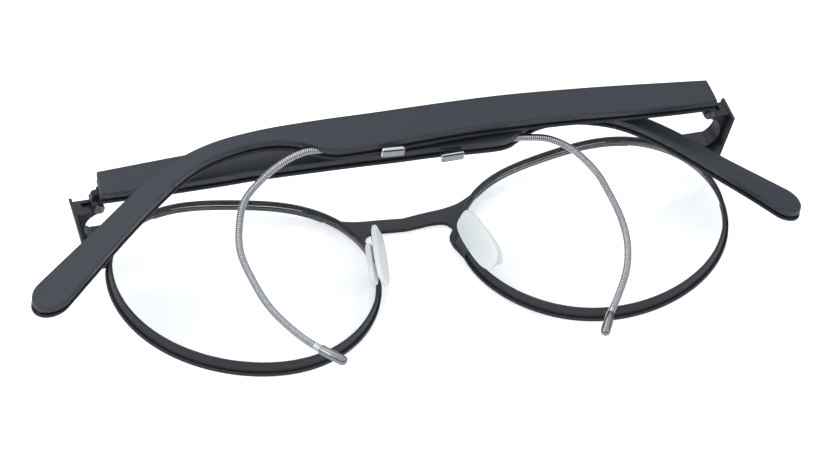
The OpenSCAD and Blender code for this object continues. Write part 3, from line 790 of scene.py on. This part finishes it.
# The hooks' routes in the temples' frame, from the slider's carriage through the mouth to the ferrule.
SLOT_N = 3.27
SLOT_PART = [(69.9, -1.6, SLOT_N), (71.8, -1.75, SLOT_N), (74.6, -2.7, SLOT_N), (77.6, -3.25, SLOT_N)]
BOWED_SLOT_PART = [(s, t + BOW_UP * bow(LEFT, s), n + BOW_OUT * bow(LEFT, s)) for s, t, n in SLOT_PART]
ROUTES = {
    RIGHT: SLOT_PART + [
        (81, -3.1, 3.2), (84.9, -4, 2.4), (89.1, -5.4, 0.2), (93.3, -8, -2.6), (95.3, -12.1, -4.8),
        (96.3, -17.4, -6.7), (95.5, -23.5, -8.1), (93.8, -30.2, -9.1), (90.5, -36.6, -9.7), (87.4, -40.6, -10),
        (84.1, -43.9, -10.2)],
    LEFT: BOWED_SLOT_PART + [
        (81, -1.9, 3.4), (85.5, -2.3, 2.4), (89.8, -4, 0.2), (93.2, -7.7, -2.6), (94.7, -11.8, -4.8),
        (95.5, -16.6, -6.7), (95.1, -21.9, -8.1), (93.1, -27.6, -9.1), (89.6, -33.3, -9.7), (86.7, -37.3, -10),
        (84.4, -41.3, -10.2)],
}


def route_at(route, u):
    """A point of a hook's route in the temple's frame, on a smooth curve through its points."""
    i = min(int(u), len(route) - 3)
    f = u - i
    a, b, c, d = (Vector(route[max(i - 1, 0)]), Vector(route[i]), Vector(route[i + 1]), Vector(route[i + 2]))
    return 0.5 * (2 * b + (c - a) * f + (2 * a - 5 * b + 4 * c - d) * f * f + (3 * b - a - 3 * c + d) * f**3)


class SPECTACLE_OT_hooks(bpy.types.Operator):
    """Winds the ear hook wires and turns their ferrules"""
    bl_idname = "spectacle.hooks"
    bl_label = "Ear hooks"

    def execute(self, context):
        sizes, hook = context.scene.spectacle_temples, context.scene.spectacle_hooks
        # The mm between rings of points, points in a ring, steps along the route, and plain mm at its ends.
        step, around, fine, smooth = hook.strand / 8, 16, 2600, 1.2
        for side, word in SIDES.items():
            route = ROUTES[side]
            last = len(route) - 2
            dense = [route_at(route, last * i / fine) for i in range(fine + 1)]
            travelled = [0.0]
            for a, b in zip(dense, dense[1:]):
                travelled.append(travelled[-1] + (b - a).length)
            count = int(travelled[-1] / step)
            rings, j, up = [], 0, Vector((0.3, 0.2, 1))
            for i in range(count + 1):
                want = travelled[-1] * i / count
                while j < len(dense) - 2 and travelled[j + 1] < want:
                    j += 1
                share = (want - travelled[j]) / max(travelled[j + 1] - travelled[j], 1e-9)
                here = dense[j].lerp(dense[j + 1], min(max(share, 0), 1))
                along = (dense[min(j + 12, len(dense) - 1)] - dense[max(j - 12, 0)]).normalized()
                across = along.cross(up).normalized()
                up = across.cross(along).normalized()
                ring = []
                for k in range(around):
                    a = 2 * math.pi * k / around
                    phase = (want / hook.strand + hook.starts * k / around) % 1.0
                    hump = math.sqrt(max(1 - (2 * phase - 1) ** 2, 0))
                    plain = 1 if want < smooth or want > travelled[-1] - smooth else hump
                    r = hook.wire_d / 2 - hook.groove * (1 - plain)
                    p = here + across * r * math.cos(a) + up * r * math.sin(a)
                    ring.append(temple_point(sizes, side, *p))
                rings.append(ring)
            wire = loft("wound_hook_" + word, rings, angle=80)
            # How deep each point lies between the strands, for the painted shade in the grooves of the wire's
            # finish.
            core = KDTree(len(dense))
            for i, p in enumerate(dense):
                core.insert(temple_point(sizes, side, *p), i)
            core.balance()
            depths = [(hook.wire_d / 2 - core.find(v.co)[2] / MM) / hook.groove for v in wire.data.vertices]
            wire.data.attributes.new("groove", "FLOAT", "POINT").data.foreach_set(
                "value", [min(max(d, 0), 1) if d < 1.5 else 0 for d in depths])
            axis = (Vector(route[last + 1]) - Vector(route[last])).normalized()
            across = axis.cross(Vector((0, 0, 1))).normalized()
            up = axis.cross(across)
            r, length = hook.ferrule_d / 2, hook.ferrule_len
            profile = [(-0.02, 0.55), (0, r - 0.16), (0.05, r - 0.06), (0.16, r), (length * 0.5, r),
                       (length - r, r)]
            for a in (math.radians(d) for d in range(12, 90, 12)):
                profile.append((length - r + r * math.sin(a), r * math.cos(a)))
            profile.append((length, 1e-4))
            rings = []
            for d, radius in profile:
                ring = []
                for k in range(32):
                    a = 2 * math.pi * k / 32
                    p = Vector(route[last]) + axis * d + (across * math.cos(a) + up * math.sin(a)) * radius
                    ring.append(temple_point(sizes, side, *p))
                rings.append(ring)
            ferrule = loft("hook_end_" + word, rings, angle=50)
            settle(wire, "temple_" + word, "hook_wire", wound_steel(), "hook_wire_" + word)
            settle(ferrule, "temple_" + word, "ferrule_chrome", painted_dark_turned_steel(), "hook_ferrule_" + word)
            for obj in (wire, ferrule):
                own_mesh(obj)
        return {"FINISHED"}


class SPECTACLE_OT_sliders(bpy.types.Operator):
    """Shapes the polished thumb tabs that move the hooks"""
    bl_idname = "spectacle.sliders"
    bl_label = "Sliders"

    def execute(self, context):
        sizes, hook = context.scene.spectacle_temples, context.scene.spectacle_hooks
        # The temple's lower edge at the tab, and a small gap.
        low_side = -1.9 - 0.85 * sizes.bulge - 0.25
        for side, word in SIDES.items():
            # The left tab sits half a millimetre nearer its temple's tip.
            s = hook.slider_s + (0.5 if side == LEFT else 0)
            lift = bow(side, s)
            top, n = low_side + BOW_UP * lift, SLOT_N + BOW_OUT * lift

            def block(name, drop, long, tall, wide):
                clear_selection()
                bpy.ops.mesh.primitive_cube_add(size=1)
                made = bpy.context.object
                for v in made.data.vertices:
                    x, y, z = v.co
                    v.co = temple_point(sizes, side, s + x * long, top - drop + y * tall, n + z * wide)
                return tidy_mesh(made, name + word, caps=False)

            tab = block("thumb_tab_", hook.tab_h / 2, hook.tab_len, hook.tab_h, hook.tab_w)
            round_edges(tab, 0.42, 6, 40)
            # The neck runs in the slot, up to the carriage inside the temple.
            obj = join([tab, block("neck_", -1.6, hook.tab_len * 0.96, 3.2, 0.5)])
            bpy.ops.object.shade_smooth_by_angle(angle=math.radians(35))
            settle(obj, "hook_" + word, "slider_chrome", polished_steel(), "hook_slider_" + word)
            # The tab's lower face gets the brushed steel with its painted shade, and the rounded edge between
            # it and the polished side gets the dark plate nylon as a painted dark reflection line.
            obj.data.materials.append(brushed_and_shaded_steel())
            obj.data.materials.append(moulded_nylon())
            for face in obj.data.polygons:
                if face.center.y < (sizes.temple_y + top - 0.5 * hook.tab_h) * MM and face.normal.y < -0.7:
                    # Painted shade on the lower face, painted dark reflection on its upper edge.
                    face.material_index = 2 if face.normal.z > 0.08 else 1
        return {"FINISHED"}


class SPECTACLE_OT_pads(bpy.types.Operator):
    """Moulds the slip-on silicone pads over their sheet tabs"""
    bl_idname = "spectacle.pads"
    bl_label = "Nose pads"

    def execute(self, context):
        sizes, hook = context.scene.spectacle_rims, context.scene.spectacle_hooks
        # The right pad's place in mm, and its turns about Y and Z in degrees.
        seat = Vector((sizes.lens_gap / 2 + 1.1, -sizes.lens_drop - 2.2, 7.5))
        about_y, about_z = 24.5, 11.7
        turn = Matrix.Rotation(math.radians(about_y), 3, "Y") @ Matrix.Rotation(math.radians(about_z), 3, "Z")
        # Each leaf's name, length, width, two faces and shift along the pad, in mm.
        leaves = (("nose_leaf_", hook.pad_len, hook.pad_w, -0.3 - hook.pad_t, -0.3, 0.0),
                  ("rim_leaf_", 0.7 * hook.pad_len, 0.6 * hook.pad_w, 0.3, 1.5, -1.3))
        for side, word in SIDES.items():
            made = []
            for name, length, width, low, high, shift in leaves:
                clear_selection()
                bpy.ops.mesh.primitive_uv_sphere_add(segments=48, ring_count=24, radius=1)
                obj = bpy.context.object
                for v in obj.data.vertices:
                    x, y, z = v.co
                    flat = math.hypot(x, y)
                    a = math.atan2(y, x)
                    wide = flat ** 0.34
                    # The upper end is blunter than the lower one.
                    power = 2 / (2.6 + 1.2 * max(x, 0) / max(flat, 1e-6))
                    along = length / 2 * wide * math.copysign(abs(math.cos(a)) ** power, math.cos(a))
                    across = width / 2 * wide * math.copysign(abs(math.sin(a)) ** power, math.sin(a))
                    bulge = math.copysign(abs(z) ** 0.5, z)
                    deep = (low + high) / 2 + (high - low) / 2 * bulge
                    q = seat + turn @ Vector((deep, along + shift, across))
                    v.co = Vector((side * q.x, q.y, q.z)) * MM
                made.append(tidy_mesh(obj, name + word, caps=False, angle=60))
            clear_selection()
            bpy.ops.mesh.primitive_cylinder_add(vertices=24, radius=1, depth=1)
            stem = bpy.context.object
            for v in stem.data.vertices:
                x, y, z = v.co
                q = seat + turn @ Vector((z * 1.4, 1.6 + 0.9 * x, -1.3 + 0.9 * y))
                v.co = Vector((side * q.x, q.y, q.z)) * MM
            made.append(tidy_mesh(stem, "pad_stem_" + word, caps=False))
            obj = join(made)
            obj.name = "silicone_pad_" + word
            settle(obj, "front", "pad_silicone", milky_silicone(), "nose_pad_" + word)
        return {"FINISHED"}


class SPECTACLE_OT_metalwork(bpy.types.Operator):
    """Finishes the hinges, screws and pad tabs that keep their CAD shape"""
    bl_idname = "spectacle.metalwork"
    bl_label = "Hinges and tabs"

    def execute(self, context):
        finish_of = {"hinge_block": coated_hinge, "temple_hinge": coated_hinge,
                     "hinge_screw": blackened_steel, "pad_tab": coated_eyewire}
        for name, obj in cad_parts.items():
            finish = finish_of.get(name.rsplit("_", 1)[0])
            if finish:
                for slot in obj.material_slots:
                    slot.material = finish()
        return {"FINISHED"}


class SPECTACLE_OT_stage(bpy.types.Operator):
    """Sets the white table, the lamps, the sky and the camera"""
    bl_idname = "spectacle.stage"
    bl_label = "Stage"

    def execute(self, context):
        scene = context.scene
        clear_selection()
        bpy.ops.mesh.primitive_plane_add(size=6, location=(0, 0, -0.00005))
        floor = context.object
        floor.name = "table"
        select_only(floor)
        bpy.ops.object.transform_apply(location=True)
        material, tree = new_material("white_table")
        plain = node(tree, "ShaderNodeBsdfDiffuse", Color=srgb("#f4f4f6"))
        white = node(tree, "ShaderNodeBsdfDiffuse", Color=tuple(finishes().floor))
        # A faint glow keeps the table near white beside the object's shadow.
        glow = node(tree, "ShaderNodeEmission", Color=srgb("#fdfdff"), Strength=0.42)
        lit = node(tree, "ShaderNodeAddShader", {0: white.outputs[0], 1: glow.outputs[0]})
        seen = seen_by_eye(tree)
        mixed = node(tree, "ShaderNodeMixShader", {0: seen, 1: plain.outputs[0], 2: lit.outputs[0]})
        node(tree, "ShaderNodeOutputMaterial", {"Surface": mixed.outputs[0]})
        floor.data.materials.append(material)

        world = bpy.data.worlds.get("studio") or bpy.data.worlds.new("studio")
        scene.world = world
        world.use_nodes = True
        tree = world.node_tree
        tree.nodes.clear()
        soft = node(tree, "ShaderNodeBackground", Color=srgb("#f2f5fb"), Strength=0.95)
        white = node(tree, "ShaderNodeBackground", Color=srgb("#ffffff"), Strength=1.0)
        # Metal mirrors a white ceiling over darker walls, which gives wires and tabs their dark outlines.
        place = node(tree, "ShaderNodeTexCoord").outputs["Generated"]
        height = node(tree, "ShaderNodeSeparateXYZ", {0: place}).outputs["Z"]
        shade = node(tree, "ShaderNodeMapRange",
                     {"Value": height, "From Min": 0.1, "From Max": 0.6, "To Min": 0.06, "To Max": 1.0},
                     interpolation_type="SMOOTHSTEP")
        room = node(tree, "ShaderNodeBackground", {"Strength": shade.outputs["Result"]}, Color=srgb("#f6f9ff"))
        mirrored = node(tree, "ShaderNodeLightPath").outputs["Is Glossy Ray"]
        mixed = node(tree, "ShaderNodeMixShader", {0: mirrored, 1: soft.outputs[0], 2: room.outputs[0]})
        seen = seen_by_eye(tree)
        mixed = node(tree, "ShaderNodeMixShader", {0: seen, 1: mixed.outputs[0], 2: white.outputs[0]})
        node(tree, "ShaderNodeOutputWorld", {"Surface": mixed.outputs[0]})

        # Name, place and size in m, power in W. All aim at the origin.
        lamps = (("softbox_behind", (-0.3, 0.6, 0.85), 1.2, 3.0),
                 ("softbox_left", (-0.9, -0.2, 0.6), 0.6, 2.3), ("softbox_right", (0.9, -0.4, 0.6), 0.6, 1.0))
        for name, place, size, power in lamps:
            data = bpy.data.lights.new(name, "AREA")
            data.shape = "SQUARE"
            data.size = size
            data.energy = power
            lamp = bpy.data.objects.new(name, data)
            scene.collection.objects.link(lamp)
            lamp.location = place
            lamp.rotation_euler = (-Vector(place)).to_track_quat("-Z", "Y").to_euler()

        # The photo's camera, solved from the rims, hinges and temples: its turn, its place in mm and its focal
        # length in pixels.
        turn = (Matrix.Rotation(-0.82, 3, "X") @ Matrix.Rotation(0.06262, 3, "Y")
                @ Matrix.Rotation(0.29198, 3, "Z"))
        centre = turn.transposed() @ Vector((-1.75008, 5.78020, 717.6975)) + Vector((0, -11.65, 1.205))
        focal_px, photo_w = 3852.31, 826
        data = bpy.data.cameras.new("camera")
        data.sensor_width = 36
        data.lens = focal_px / photo_w * data.sensor_width
        data.clip_start, data.clip_end = 0.01, 20
        camera = bpy.data.objects.new("camera", data)
        scene.collection.objects.link(camera)
        camera.matrix_world = Matrix.Translation(centre * MM) @ turn.transposed().to_4x4()
        scene.camera = camera
        scene.view_settings.view_transform = "Standard"
        return {"FINISHED"}


STEPS = (SPECTACLE_OT_rims, SPECTACLE_OT_lenses, SPECTACLE_OT_bridge, SPECTACLE_OT_end_pieces,
         SPECTACLE_OT_temples, SPECTACLE_OT_hooks, SPECTACLE_OT_sliders, SPECTACLE_OT_pads,
         SPECTACLE_OT_metalwork, SPECTACLE_OT_stage)


class SPECTACLE_PT_panel(bpy.types.Panel):
    bl_idname = "SPECTACLE_PT_panel"
    bl_label = "Spectacle frame"
    bl_space_type = "VIEW_3D"
    bl_region_type = "UI"
    bl_category = "Spectacles"

    def draw(self, context):
        for group in ("spectacle_rims", "spectacle_temples", "spectacle_hooks", "spectacle_finishes"):
            values = getattr(context.scene, group)
            for key in values.__annotations__:
                self.layout.prop(values, key)
        for step in STEPS:
            self.layout.operator(step.bl_idname)


GROUPS = {"spectacle_rims": RimSizes, "spectacle_temples": TempleSizes, "spectacle_hooks": HookSizes,
          "spectacle_finishes": Finishes}


def register():
    for name, group in GROUPS.items():
        bpy.utils.register_class(group)
        setattr(bpy.types.Scene, name, bpy.props.PointerProperty(type=group))
    for cls in STEPS + (SPECTACLE_PT_panel,):
        bpy.utils.register_class(cls)


def unregister():
    for cls in (SPECTACLE_PT_panel,) + STEPS[::-1]:
        bpy.utils.unregister_class(cls)
    for name, group in GROUPS.items():
        delattr(bpy.types.Scene, name)
        bpy.utils.unregister_class(group)


def main():
    register()
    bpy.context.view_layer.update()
    for step in STEPS:
        group, name = step.bl_idname.split(".")
        getattr(getattr(bpy.ops, group), name)()


if __name__ == "__main__":
    main()
